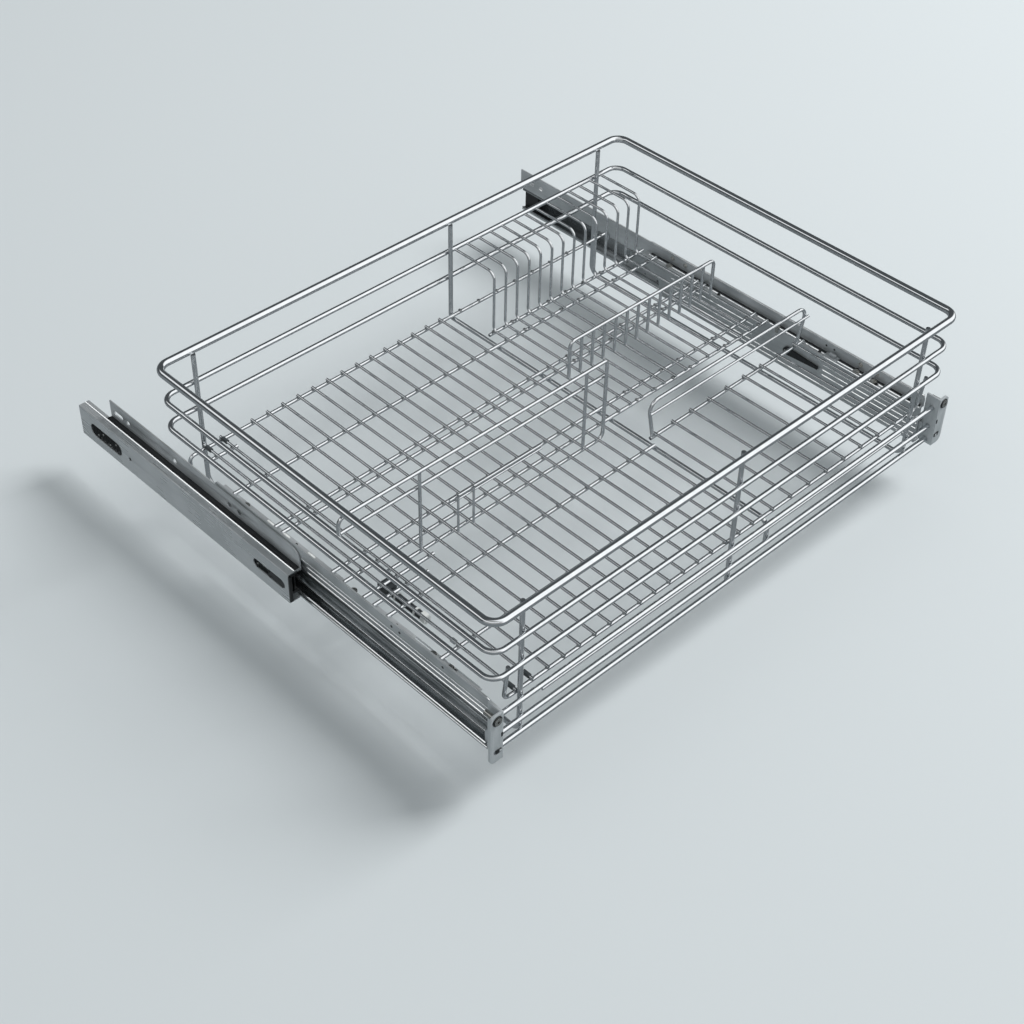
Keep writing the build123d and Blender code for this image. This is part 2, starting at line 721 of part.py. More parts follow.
# Floor rods at the front and the back; the front one turns up to the lower ring
turn_up_x = rim_half - turn_up_inset
ring_side_y = rim_front + ring_inset + ring_rod / 2 + cross_rod / 2 + weld_gap
front_floor_rod = bent_rod([(-turn_up_x, ring_side_y, lower_ring_z),
                            (-turn_up_x, front_floor_y, floor_height),
                            (turn_up_x, front_floor_y, floor_height),
                            (turn_up_x, ring_side_y, lower_ring_z)], divider_bend, cross_rod)
keep(front_floor_rod, "front_floor_rod")

hook_x = rod_end - cross_rod / 2
back_floor_rod = bent_rod([(-hook_x, back_floor_y, floor_height - hook_drop),
                           (-hook_x, back_floor_y, floor_height),
                           (hook_x, back_floor_y, floor_height),
                           (hook_x, back_floor_y, floor_height - hook_drop)],
                          hook_bend, cross_rod)
keep(back_floor_rod, "back_floor_rod")

# Places of the floor wires of the left half, counted from the left
first_wire_x = -rim_half + floor_margin
wire_count = int((centre_x - rack_offset - first_wire_x) / floor_pitch) + 1
wire_places = [first_wire_x + i * floor_pitch for i in range(wire_count)]


def wire_at(share):
    """X of the floor wire nearest to a share of the left half."""
    return wire_places[round(share * (wire_count - 1))]


# Cross rods over the full width, whose ends lie on the flanges of the side brackets
with BuildPart() as cross_rods:
    for share in full_rod_shares:
        y = depth_y(share)
        add(straight_rod((-rod_end, y, floor_height), (rod_end, y, floor_height), cross_rod))
keep(cross_rods.part, "cross_rods")

# Cross rods of the left half, and short ones that reach in from the left bracket
left_rod_end = centre_x - left_rod_end_gap
with BuildPart() as left_cross_rods:
    for share in left_rod_shares:
        y = depth_y(share)
        add(straight_rod((-rod_end, y, floor_height), (left_rod_end, y, floor_height), cross_rod))
    for share, wire_share in zip(short_rod_shares, short_rod_wire_shares):
        y = depth_y(share)
        short_end = wire_at(wire_share) + short_rod_overhang
        add(straight_rod((-rod_end, y, floor_height), (short_end, y, floor_height), cross_rod))
    y = depth_y(corner_rod_share)
    add(straight_rod((wire_places[0] - short_rod_overhang, y, floor_height),
                     (wire_places[1] + short_rod_overhang, y, floor_height), cross_rod))
keep(left_cross_rods.part, "left_cross_rods")

# Cross rods of the right half: the foot of the plate rack and the edge of the front compartment
rack_foot_y = depth_y(rack_foot_share)
compartment_y = depth_y(compartment_share)
right_rod_start = centre_x + post_rod / 2 + left_rod_end_gap
with BuildPart() as right_cross_rods:
    for y in (rack_foot_y, compartment_y):
        add(straight_rod((right_rod_start, y, floor_height), (rod_end, y, floor_height),
                         cross_rod))
keep(right_cross_rods.part, "right_cross_rods")

# Floor wires from the front rod to the back rod; the two outermost have plastic sleeves
with BuildPart() as floor_wires:
    for x in wire_places[2:]:
        add(straight_rod((x, wire_front, wire_z), (x, wire_back, wire_z), floor_wire))
keep(floor_wires.part, "floor_wires")

with BuildPart() as end_wires:
    for x in wire_places[:2]:
        add(straight_rod((x, wire_front, wire_z), (x, wire_back, wire_z), floor_wire))
keep(end_wires.part, "end_wires")

# The sleeves sit between two cross rods, so they are clear of both
sleeve_front_y = front_floor_y + cross_rod / 2 + sleeve_gap
sleeve_back_y = back_floor_y - cross_rod / 2 - sleeve_gap - sleeve_length
with BuildPart() as sleeves:
    for y in (sleeve_front_y, sleeve_back_y):
        with BuildSketch(Plane.XZ.offset(-(y + sleeve_length))):
            with Locations(*[(x, wire_z) for x in wire_places[:2]]):
                Circle(sleeve_diameter / 2)
                Circle(floor_wire / 2 + sleeve_gap, mode=Mode.SUBTRACT)
        extrude(amount=sleeve_length)
keep(sleeves.part, "wire_sleeves")

# Wires of the front right compartment
compartment_count = int((frame_x + rack_offset - rack_first_x) / compartment_pitch) + 1
compartment_back = compartment_y + cross_rod / 2
with BuildPart() as compartment_wires:
    for i in range(compartment_count):
        x = rack_first_x + i * compartment_pitch
        add(straight_rod((x, wire_front, wire_z), (x, compartment_back, wire_z), floor_wire))
keep(compartment_wires.part, "compartment_wires")

# Plate rack: wires that leave the upper ring, drop to the floor and run forward along it
rack_count = int((rod_end - rack_offset - rack_first_x) / rack_pitch) + 1
rack_places = [rack_first_x + i * rack_pitch for i in range(rack_count)]
rack_back = rim_back - ring_inset - ring_rod / 2 - weld_gap
rack_front = depth_y(full_rod_shares[-1]) - cross_rod / 2
with BuildPart() as rack_wires:
    for x in rack_places:
        add(bent_rod([(x, rack_back, upper_ring_z), (x, rack_foot_y, upper_ring_z),
                      (x, rack_foot_y, wire_z), (x, rack_front, wire_z)],
                     [rack_bend, rack_foot_bend], floor_wire))
keep(rack_wires.part, "rack_wires")

# Comb in front of the rack: a hoop with a wire over each rack wire
comb_y = depth_y(comb_share)
comb_hoop = bent_rod([(rack_places[0], comb_y, wire_top), (rack_places[0], comb_y, comb_height),
                      (rack_places[-1], comb_y, comb_height), (rack_places[-1], comb_y, wire_top)],
                     comb_bend, divider_wire)
keep(comb_hoop, "comb_hoop")

comb_wire_top = comb_height - divider_wire / 2 - weld_gap
with BuildPart() as comb_wires:
    for x in rack_places[1:-1]:
        add(straight_rod((x, comb_y, wire_top), (x, comb_y, comb_wire_top), post_wire))
keep(comb_wires.part, "comb_wires")

# Guard: a low hoop on the edge of the front right compartment, with a thinner rail inside it
guard_tilt = divider_wire / 2 * guard_lean / (guard_height - floor_height)
guard_bottom = floor_height + cross_rod / 2 + weld_gap + guard_tilt
guard_clear = (divider_wire + floor_wire) / 2 + weld_gap
guard_left = rack_first_x - guard_clear
guard_right = rack_first_x + (compartment_count - 1) * compartment_pitch + guard_clear
guard_hoop = bent_rod([(guard_left, compartment_y, guard_bottom),
                       (guard_left - guard_lean, compartment_y, guard_height),
                       (guard_right + guard_lean, compartment_y, guard_height),
                       (guard_right, compartment_y, guard_bottom)], guard_bend, divider_wire)
keep(guard_hoop, "guard_hoop")

guard_rail_z = guard_height - guard_step
guard_rail_y = compartment_y - divider_wire / 2 - floor_wire / 2 - weld_gap
guard_rail = straight_rod((guard_left - guard_lean, guard_rail_y, guard_rail_z),
                          (guard_right + guard_lean, guard_rail_y, guard_rail_z), floor_wire)
keep(guard_rail, "guard_rail")

# Divider of the left half: a hoop that starts as a floor rod, with a rail behind it and posts
divider_y = depth_y(divider_share)
ring_inner_x = -rim_half + ring_inset
divider_left_x = wire_places[1] - divider_wire / 2
divider_right_x = centre_x - divider_right_inset
divider_end_z = upper_ring_z + ring_rod / 2 + weld_gap
divider_hoop = bent_rod([(divider_left_x, divider_y, floor_height),
                         (divider_right_x, divider_y, floor_height),
                         (divider_right_x, divider_y, divider_height),
                         (ring_inner_x, divider_y, divider_height),
                         (ring_inner_x, divider_y, divider_end_z)],
                        [divider_bend, divider_top_bend, divider_bend], divider_wire)
keep(divider_hoop, "divider_hoop")

divider_rail_y = divider_y + divider_wire + weld_gap
divider_rail_start = ring_inner_x + ring_rod / 2 + weld_gap
divider_rail = straight_rod((divider_rail_start, divider_rail_y, divider_rail_height),
                            (divider_right_x + divider_wire / 2, divider_rail_y,
                             divider_rail_height), divider_wire)
keep(divider_rail, "divider_rail")

divider_post_top = divider_height - divider_wire / 2 - weld_gap
with BuildPart() as divider_posts:
    for share in divider_post_shares:
        x = wire_at(share)
        add(straight_rod((x, divider_y, wire_top), (x, divider_y, divider_post_top), post_wire))
keep(divider_posts.part, "divider_posts")

# Spoon rest: two thin rails on two thin posts, beside the divider
rest_y = divider_y - spoon_rest_setback
rest_rail_y = rest_y + thin_wire + weld_gap
rest_start = wire_at(spoon_rest_post_shares[0]) - spoon_rest_setback
with BuildPart() as spoon_rest:
    for share in spoon_rest_post_shares:
        x = wire_at(share)
        add(straight_rod((x, rest_y, wire_top), (x, rest_y, spoon_rest_height), thin_wire))
    for z in (spoon_rest_height - thin_wire, spoon_rest_height - thin_wire - spoon_rest_step):
        add(straight_rod((rest_start, rest_rail_y, z),
                         (rest_start + spoon_rest_length, rest_rail_y, z), thin_wire))
keep(spoon_rest.part, "spoon_rest")

# Damper under the left end of the floor: a cylinder in a clamp, and a rod with a tip
damper_x = -rim_half + damper_inset
damper_z = floor_height - cross_rod / 2 - damper_diameter / 2 - clamp_base - weld_gap
damper_rear = depth_y(damper_rear_share)
damper_front = damper_rear - damper_length
with BuildPart() as damper_cylinder:
    with BuildSketch(Plane.XZ.offset(-damper_rear)):
        with Locations((damper_x, damper_z)):
            Circle(damper_diameter / 2)
    extrude(amount=damper_length)
    with BuildSketch(Plane.XZ.offset(-(damper_rear - damper_wall))):
        with Locations((damper_x, damper_z)):
            Circle(damper_bore / 2)
    extrude(amount=damper_length - 2 * damper_wall, mode=Mode.SUBTRACT)
    with BuildSketch(Plane.XZ.offset(-(damper_front + damper_wall))):
        with Locations((damper_x, damper_z)):
            Circle(damper_rod_diameter / 2 + damper_gap)
    extrude(amount=damper_wall, mode=Mode.SUBTRACT)
keep(damper_cylinder.part, "damper_cylinder")

rod_rear = damper_front + damper_wall + weld_gap + damper_piston_length
damper_rod_out = damper_stroke + damper_tip_length + damper_end_gap
with BuildPart() as damper_rod:
    with BuildSketch(Plane.XZ.offset(-rod_rear)):
        with Locations((damper_x, damper_z)):
            Circle(damper_bore / 2 - damper_gap)
    extrude(amount=damper_piston_length)
    with BuildSketch(Plane.XZ.offset(-rod_rear)):
        with Locations((damper_x, damper_z)):
            Circle(damper_rod_diameter / 2)
    extrude(amount=rod_rear - damper_front + damper_rod_out)
    with BuildSketch(Plane.XZ.offset(-(damper_front - damper_rod_out + damper_tip_length))):
        with Locations((damper_x, damper_z)):
            Circle(damper_tip_diameter / 2)
    extrude(amount=damper_tip_length)
keep(damper_rod.part, "damper_rod")

# Clamp: a block under the cross rods that grips the cylinder
clamp_y = depth_y(short_rod_shares[0])
with BuildPart() as damper_clamp:
    clamp_top = floor_height - cross_rod / 2 - weld_gap
    clamp_height = clamp_base + clamp_grip_share * damper_diameter
    with BuildSketch(Plane.XZ.offset(-(clamp_y + clamp_length / 2))):
        with Locations((damper_x, clamp_top)):
            Rectangle(clamp_width, clamp_height, align=(Align.CENTER, Align.MAX))
        with Locations((damper_x, damper_z)):
            Circle(damper_diameter / 2 + damper_gap, mode=Mode.SUBTRACT)
    extrude(amount=clamp_length)
keep(damper_clamp.part, "damper_clamp")
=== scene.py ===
# Pull-out dish basket of chromed wire on two ball-bearing runners, partly pulled out.
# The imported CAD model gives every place: X = 0 in the middle of the width, Y = 0 at the front
# ends of the cabinet rails with +Y to the rear, Z = 0 on the runners' centre line, in metres.

import math

import bpy
from mathutils import Matrix, Vector


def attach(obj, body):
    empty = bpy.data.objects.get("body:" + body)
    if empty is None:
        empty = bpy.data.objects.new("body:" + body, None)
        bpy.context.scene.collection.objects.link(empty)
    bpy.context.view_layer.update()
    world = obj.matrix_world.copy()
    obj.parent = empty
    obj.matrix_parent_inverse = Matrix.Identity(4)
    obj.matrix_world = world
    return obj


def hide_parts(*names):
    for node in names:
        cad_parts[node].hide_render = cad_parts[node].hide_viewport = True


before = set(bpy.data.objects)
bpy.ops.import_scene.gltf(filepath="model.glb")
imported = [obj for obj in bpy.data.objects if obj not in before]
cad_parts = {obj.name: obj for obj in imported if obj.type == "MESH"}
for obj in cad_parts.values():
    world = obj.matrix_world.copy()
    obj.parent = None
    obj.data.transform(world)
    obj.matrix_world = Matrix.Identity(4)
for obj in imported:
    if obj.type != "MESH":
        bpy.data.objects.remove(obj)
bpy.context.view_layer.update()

# Camera: in front of the basket on its left, looking 42 degrees down through a long lens, so
# that the far corner shrinks only a little.
camera_data = bpy.data.cameras.new("camera")
camera_data.sensor_width = 36.0
camera_data.lens = 62.66
camera_data.shift_x = 0.0006
camera_data.shift_y = 0.0032
camera = bpy.data.objects.new("camera", camera_data)
camera_right = Vector((0.72075, -0.69295, 0.01818))
camera_up = Vector((0.45590, 0.49362, 0.74060))
camera_back = Vector((-0.52218, -0.52550, 0.67170))
camera_place = Vector((-1.03522, -1.00680, 1.19993))
camera_turn = Matrix((camera_right, camera_up, camera_back)).transposed().to_4x4()
camera.matrix_world = Matrix.Translation(camera_place) @ camera_turn
bpy.context.scene.collection.objects.link(camera)
bpy.context.scene.camera = camera
# Plain sRGB tones, as in a catalogue picture, keep the white of the chrome white.
bpy.context.scene.view_settings.view_transform = "Standard"

# Floor: a plain pale sheet well below the basket, which hangs free between cabinet walls.
# It is smooth matt paint, so it gets a faint roller texture and nothing else.
MM = 0.001
floor_drop = 65 * MM
floor_size = 60.0
roller_grain = 4 * MM


def srgb(code):
    """Linear colour of a hex code such as "C9CDD0"."""
    channels = [int(code[i:i + 2], 16) / 255 for i in (0, 2, 4)]
    linear = [c / 12.92 if c <= 0.04045 else ((c + 0.055) / 1.055) ** 2.4 for c in channels]
    return (*linear, 1.0)


def add_node(tree, kind, settings=None, links=None):
    """Add a node, set its sockets and properties, and link its inputs to other outputs."""
    node = tree.nodes.new(kind)
    for key, value in (settings or {}).items():
        if isinstance(key, int) or key in node.inputs:
            node.inputs[key].default_value = value
        else:
            setattr(node, key, value)
    for key, output in (links or {}).items():
        tree.links.new(output, node.inputs[key])
    return node


def start_material(name, settings):
    """A material with a Principled shader; gives it, its tree, its shader and coordinates."""
    material = bpy.data.materials.new(name)
    material.use_nodes = True
    tree = material.node_tree
    shader = tree.nodes["Principled BSDF"]
    for key, value in settings.items():
        shader.inputs[key].default_value = value
    place = add_node(tree, "ShaderNodeTexCoord").outputs["Object"]
    return material, tree, shader, place


paint, tree, shader, place = start_material("matt_wall_paint", {
    "Base Color": srgb("DAE0E2"), "Roughness": 0.75, "Specular IOR Level": 0.1})
grain = add_node(tree, "ShaderNodeTexNoise", {"Scale": 1 / roller_grain, "Detail": 3.0},
                 {"Vector": place})
relief = add_node(tree, "ShaderNodeBump", {"Strength": 0.03, "Distance": 0.3 * MM},
                  {"Height": grain.outputs["Fac"]})
tree.links.new(relief.outputs["Normal"], shader.inputs["Normal"])
# What the chrome sees of the floor is a flat grey glow: a painted shaded reflection of it.
rays = add_node(tree, "ShaderNodeLightPath")
painted_shade_glow = add_node(tree, "ShaderNodeEmission", {"Color": srgb("848A8D"), "Strength": 1.0})
two_sides = add_node(tree, "ShaderNodeMixShader", None, {
    0: rays.outputs["Is Glossy Ray"], 1: shader.outputs["BSDF"], 2: painted_shade_glow.outputs["Emission"]})
surface = tree.nodes["Material Output"].inputs["Surface"]
tree.links.new(two_sides.outputs["Shader"], surface)
bpy.ops.object.select_all(action="DESELECT")
bpy.ops.mesh.primitive_plane_add(size=floor_size, location=(0, 0, -floor_drop))
floor = bpy.context.active_object
floor.name = "floor"
bpy.ops.object.transform_apply(location=True, rotation=False, scale=False)
floor.data.materials.append(paint)

# Studio light: one large soft box at the front right, whose light falls past the basket to the
# back left, and a pale room. The room that gloss sees is bright in front and grey behind, which
# draws the white band and the dark edges along every chromed rod.
world = bpy.data.worlds.new("studio")
bpy.context.scene.world = world
world.use_nodes = True
tree = world.node_tree
tree.nodes.clear()
look = add_node(tree, "ShaderNodeTexCoord").outputs["Generated"]
way = add_node(tree, "ShaderNodeSeparateXYZ", None, {"Vector": look}).outputs
# A narrow strip of light stands on the left and draws thin lines along the rails' edges.
strip_height = 0.66
strip_off = add_node(tree, "ShaderNodeMath", {"operation": "SUBTRACT", 1: strip_height},
                     {0: way["Z"]})
strip_away = add_node(tree, "ShaderNodeMath", {"operation": "ABSOLUTE"},
                      {0: strip_off.outputs["Value"]})
# Each fade goes smoothly from one strength to another between two values of its input.
fades = {}
for name, source, start, end, from_strength, to_strength in (
        ("front", way["Y"], 0.22, -0.02, 0.0, 1.0),
        ("above", way["Z"], -0.02, 0.06, 0.35, 1.0),
        ("right", way["X"], -0.25, 0.15, 0.25, 1.0),
        ("strip", strip_away.outputs["Value"], 0.15, 0.07, 0.0, 0.85),
        ("left", way["X"], 0.1, -0.2, 0.0, 1.0)):
    fades[name] = add_node(tree, "ShaderNodeMapRange", {
        "interpolation_type": "SMOOTHSTEP", "From Min": start, "From Max": end,
        "To Min": from_strength, "To Max": to_strength}, {"Value": source}).outputs["Result"]
bright = add_node(tree, "ShaderNodeMath", {"operation": "MULTIPLY"},
                  {0: fades["front"], 1: fades["above"]})
panel = add_node(tree, "ShaderNodeMath", {"operation": "MULTIPLY"},
                 {0: bright.outputs["Value"], 1: fades["right"]})
thin_line = add_node(tree, "ShaderNodeMath", {"operation": "MULTIPLY"},
                     {0: fades["strip"], 1: fades["left"]})
shine = add_node(tree, "ShaderNodeMath", {"operation": "MAXIMUM"},
                 {0: panel.outputs["Value"], 1: thin_line.outputs["Value"]})
# A Mix node's colours are its inputs 6 and 7 and its output 2.
seen = add_node(tree, "ShaderNodeMix", {
    "data_type": "RGBA", 6: srgb("46494B"), 7: srgb("FFFFFF")},
    {0: shine.outputs["Value"]})
gloss_room = add_node(tree, "ShaderNodeBackground", {"Strength": 1.5},
                      {"Color": seen.outputs[2]})
fill_room = add_node(tree, "ShaderNodeBackground", {
    "Color": srgb("EEF2F4"), "Strength": 0.53})
rays = add_node(tree, "ShaderNodeLightPath")
room = add_node(tree, "ShaderNodeMixShader", None, {
    0: rays.outputs["Is Glossy Ray"], 1: fill_room.outputs["Background"],
    2: gloss_room.outputs["Background"]})
add_node(tree, "ShaderNodeOutputWorld", None, {"Surface": room.outputs["Shader"]})

soft_box_side = 2.7
soft_box_distance = 6.0
soft_box_way = Vector((0.66, -0.27, 0.75)).normalized()
soft_box_data = bpy.data.lights.new("soft_box", "AREA")
soft_box_data.shape = "RECTANGLE"
soft_box_data.size = soft_box_side
soft_box_data.size_y = soft_box_side
soft_box_data.energy = 250
soft_box = bpy.data.objects.new("soft_box", soft_box_data)
soft_box.location = soft_box_way * soft_box_distance
soft_box.rotation_euler = soft_box_way.to_track_quat("Z", "Y").to_euler()
soft_box.visible_glossy = False
bpy.context.scene.collection.objects.link(soft_box)

# Cabinet rails, intermediate rails and drawer rails: C-shaped runners, roll-formed from steel
# strip and zinc plated. Rolling leaves fine lines along the length and the plating a cool, even
# satin grey.
rolled_line = 1.6 * MM  # coarser than real ones, which are too fine to show
line_stretch = 0.012
line_share = 0.25
plating_patch = 40 * MM


def rolled_zinc(name, dark, light, roughness, metallic):
    """Zinc-plated strip: fine lines along Y, faint cloudy patches and slightly worn sheen."""
    material, tree, shader, place = start_material(name, {"Metallic": metallic})
    stretch = add_node(tree, "ShaderNodeMapping", {"Scale": (1.0, line_stretch, 1.0)},
                       {"Vector": place})
    lines = add_node(tree, "ShaderNodeTexNoise", {"Scale": 1 / rolled_line, "Detail": 2.0},
                     {"Vector": stretch.outputs["Vector"]})
    clouds = add_node(tree, "ShaderNodeTexNoise", {"Scale": 1 / plating_patch, "Detail": 1.5},
                      {"Vector": place})
    share = add_node(tree, "ShaderNodeMath", {"operation": "MULTIPLY", 1: line_share},
                     {0: lines.outputs["Fac"]})
    mixed = add_node(tree, "ShaderNodeMath", {"operation": "MULTIPLY_ADD", 1: 1 - line_share},
                     {0: clouds.outputs["Fac"], 2: share.outputs["Value"]})
    tone = add_node(tree, "ShaderNodeValToRGB", None, {"Fac": mixed.outputs["Value"]})
    for stop, position, code in zip(tone.color_ramp.elements, (0.3, 0.7), (dark, light)):
        stop.position = position
        stop.color = srgb(code)
    tree.links.new(tone.outputs["Color"], shader.inputs["Base Color"])
    sheen = add_node(tree, "ShaderNodeMapRange", {
        "To Min": roughness - 0.06, "To Max": roughness + 0.08}, {"Value": mixed.outputs["Value"]})
    tree.links.new(sheen.outputs["Result"], shader.inputs["Roughness"])
    relief = add_node(tree, "ShaderNodeBump", {"Strength": 0.05, "Distance": 0.02 * MM},
                      {"Height": lines.outputs["Fac"]})
    tree.links.new(relief.outputs["Normal"], shader.inputs["Normal"])
    return material


rail_zinc = rolled_zinc("satin_zinc_plated_strip", "BCC1C3", "D4D8DA", 0.26, 0.5)
# The inner rails keep the mill's brighter rolled finish under their plating. Their darker tone is
# painted shade, for the dark channel that they run in.
painted_shade_zinc = rolled_zinc("zinc_strip_painted_shade", "7C8183", "B6BABC", 0.22, 0.95)


def start_formed(name):
    """A copy of a CAD node with whole faces in place of loose triangles, ready for edit mode."""
    bpy.ops.object.select_all(action="DESELECT")
    piece = bpy.data.objects.new(name + "_formed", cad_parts[name].data.copy())
    bpy.context.scene.collection.objects.link(piece)
    bpy.context.view_layer.objects.active = piece
    piece.select_set(True)
    bpy.ops.object.mode_set(mode="EDIT")
    bpy.ops.mesh.select_all(action="SELECT")
    bpy.ops.mesh.remove_doubles(threshold=0.01 * MM)
    bpy.ops.mesh.dissolve_limited(angle_limit=math.radians(1.0))
    bpy.ops.mesh.select_all(action="DESELECT")
    bpy.ops.object.mode_set(mode="OBJECT")
    return piece


def bend(piece, s, z, radius):
    """Round the active piece's edges along Y at a height z and a distance s from the middle."""
    near = 0.05 * MM
    for edge in piece.data.edges:
        ends = [piece.data.vertices[i].co for i in edge.vertices]
        edge.select = all(abs(abs(e.x) - s * MM) < near and abs(e.z - z * MM) < near for e in ends)
        if edge.select:
            for i in edge.vertices:
                piece.data.vertices[i].select = True
    bpy.ops.object.mode_set(mode="EDIT")
    bpy.ops.mesh.bevel(offset=radius * MM, segments=4, affect="EDGES", clamp_overlap=True)
    bpy.ops.mesh.select_all(action="DESELECT")
    bpy.ops.object.mode_set(mode="OBJECT")


def settle():
    """Put the active object's place into its mesh and give the object."""
    bpy.ops.object.transform_apply(location=True, rotation=True, scale=True)
    return bpy.context.active_object


def cut_slot(piece, side, y, length, width):
    """Punch a round-ended slot through the web of a cabinet rail."""
    web_middle, punch_depth = 331.4, 4.0
    half = (length - width) / 2
    bpy.ops.mesh.primitive_cylinder_add(
        vertices=32, radius=width / 2 * MM, depth=punch_depth * MM,
        location=(side * web_middle * MM, y * MM, 0), rotation=(0, math.pi / 2, 0))
    punch = settle()
    for vertex in punch.data.vertices:
        vertex.co.y += half * MM * (1 if vertex.co.y > y * MM else -1)
    cut = piece.modifiers.new("slot", "BOOLEAN")
    cut.object = punch
    cut.solver = "EXACT"
    bpy.ops.object.select_all(action="DESELECT")
    piece.select_set(True)
    bpy.context.view_layer.objects.active = piece
    bpy.ops.object.modifier_apply(modifier=cut.name)
    bpy.data.objects.remove(punch)


def finish_piece(piece, smooth, body, material):
    """Smooth the shading up to an angle, dress the piece and let it ride on its body."""
    bpy.ops.object.shade_smooth_by_angle(angle=math.radians(smooth))
    piece.data.materials.clear()
    piece.data.materials.append(material)
    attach(piece, body)


def finish_formed(piece, name, edge, body, material):
    """Round the remaining sharp edges a little, dress the copy and put it in its node's place."""
    crease = 50
    if edge:
        worn = piece.modifiers.new("edge", "BEVEL")
        worn.width = edge * MM
        worn.segments = 2
        worn.limit_method = "ANGLE"
        worn.angle_limit = math.radians(crease)
        bpy.ops.object.modifier_apply(modifier=worn.name)
    finish_piece(piece, crease, body, material)
    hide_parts(name)


sides = (("_left", -1), ("_right", 1))
for end, side in sides:
    rail = start_formed("cabinet_rail" + end)
    for z_side in (-1, 1):
        bend(rail, 330.8, 17.8 * z_side, 2.0)
    cut_slot(rail, side, y=31.0, length=48.0, width=11.0)
    finish_formed(rail, "cabinet_rail" + end, 0.2, "cabinet_side", rail_zinc)
    rail = start_formed("intermediate_rail" + end)
    finish_formed(rail, "intermediate_rail" + end, 0.3, "intermediate", painted_shade_zinc)
    rail = start_formed("drawer_rail" + end)
    finish_formed(rail, "drawer_rail" + end, 0.3, "drawer", painted_shade_zinc)

# Tall side plates and side brackets: pressed from thicker zinc-plated sheet, a little duller than
# the rails, and darker in tone as painted shade, for the shaded floor that their faces reflect.
plate_zinc_painted_shade = rolled_zinc("dull_zinc_sheet_painted_shade", "A6ABAD", "D0D4D6", 0.34, 0.5)
for end, side in sides:
    plate = start_formed("side_plate" + end)
    finish_formed(plate, "side_plate" + end, 0.25, "cabinet_side", plate_zinc_painted_shade)
    bracket = start_formed("side_bracket" + end)
    finish_formed(bracket, "side_bracket" + end, 0.25, "drawer", plate_zinc_painted_shade)

# Painted highlights: bright zinc bars along the rails' bends, lips and stiffening beads and along
# the brackets' edges stand in for the lines of light that these rounded bends catch.
# Each bead is pressed with flat sides, turned in degrees so that one of them catches the light.
painted_highlight_zinc = rolled_zinc("zinc_edges_painted_highlight", "DCE0E2", "F6F8F9", 0.14, 0.9)


def add_bar(x, y_run, z, radius, turn):
    """A long bead with flattened sides along Y, half sunk in the sheet that it is rolled into."""
    bpy.ops.mesh.primitive_cylinder_add(
        vertices=6, radius=radius * MM, depth=(y_run[1] - y_run[0]) * MM,
        location=(x * MM, sum(y_run) / 2 * MM, z * MM),
        rotation=(math.pi / 2, -math.radians(turn), 0))
    return settle()


def join_pieces(name, pieces, body, material, smooth=35):
    """Join shapes into one piece that rides on a body."""
    bpy.ops.object.select_all(action="DESELECT")
    for piece in pieces:
        piece.select_set(True)
    bpy.context.view_layer.objects.active = pieces[0]
    if len(pieces) > 1:
        bpy.ops.object.join()
    piece = bpy.context.active_object
    piece.name = name
    piece.data.name = name
    finish_piece(piece, smooth, body, material)


# Each line: distance from the middle, run along Y, height and radius, in mm.
rail_run, drawer_run = (0.4, 349.6), (-261.7, 87.7)
wall_run, flange_run, step_run = (-261.0, 92.0), (-261.0, 127.0), (-236.0, -136.0)
cabinet_lines = [(323.6, rail_run, 19.0, 1.0), (330.9, rail_run, 17.9, 1.1),
                 (331.0, rail_run, -13.0, 1.0), (330.9, rail_run, -17.9, 1.1)]
drawer_lines = [(320.0, drawer_run, 8.7, 1.0), (320.0, drawer_run, -8.7, 1.0),
                (312.6, drawer_run, 4.6, 1.0), (312.6, drawer_run, -4.6, 1.0),
                (312.6, drawer_run, 0.0, 0.8)]
bracket_lines = [(311.2, wall_run, 12.5, 0.9), (311.2, wall_run, 19.0, 0.7),
                 (317.3, wall_run, -18.0, 0.9), (314.1, flange_run, 42.1, 0.9),
                 (314.4, flange_run, 30.0, 0.7), (309.7, wall_run, -14.0, 0.8),
                 (303.0, step_run, 29.7, 0.7), (307.6, flange_run, 29.6, 0.8),
                 (309.7, wall_run, -7.5, 0.8)]
# Three more beads stop on either side of the brackets' plain middle.
for part_run in ((-261.0, -134.0), (-33.0, 92.0)):
    bracket_lines += [(309.7, part_run, z, 0.8) for z in (13.0, 6.5, 0.0)]
for end, side, cabinet_turn, drawer_turn in (("_left", -1, 1.5, 9.0), ("_right", 1, 15.5, 15.5)):
    for name, lines, turn, body, slot in (
            ("cabinet_rail_beads", cabinet_lines, cabinet_turn, "cabinet_side", "zinc_rail"),
            ("drawer_rail_beads", drawer_lines, drawer_turn, "drawer", "zinc_rail"),
            ("bracket_beads", bracket_lines, drawer_turn, "drawer", "zinc_bracket")):
        bars = [add_bar(side * s, run, z, radius, turn) for s, run, z, radius in lines]
        join_pieces(name + end, bars, body, painted_highlight_zinc)

# Ball cages: thin punched strip, brighter because it is only lightly plated.
cage_zinc = rolled_zinc("bright_punched_strip", "A4A9AC", "C4C8CA", 0.28, 0.8)


def dress(names, material):
    """Give CAD nodes one material."""
    for name in names:
        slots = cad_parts[name].data.materials
        slots.clear()
        slots.append(material)


def both(name):
    """The names of a pair of nodes."""
    return [name + "_left", name + "_right"]


dress(both("outer_ball_cage") + both("inner_ball_cage"), cage_zinc)

# Balls: ground and polished bearing steel with a film of grease that dulls it in patches.
grease_patch = 1.5 * MM
ball_steel, tree, shader, place = start_material("greased_bearing_steel", {
    "Base Color": srgb("B5B8BB"), "Metallic": 1.0})
film = add_node(tree, "ShaderNodeTexNoise", {"Scale": 1 / grease_patch, "Detail": 2.0},
                {"Vector": place})
dulled = add_node(tree, "ShaderNodeMapRange", {"To Min": 0.06, "To Max": 0.22},
                  {"Value": film.outputs["Fac"]})
tree.links.new(dulled.outputs["Result"], shader.inputs["Roughness"])
dress(both("outer_balls") + both("inner_balls"), ball_steel)

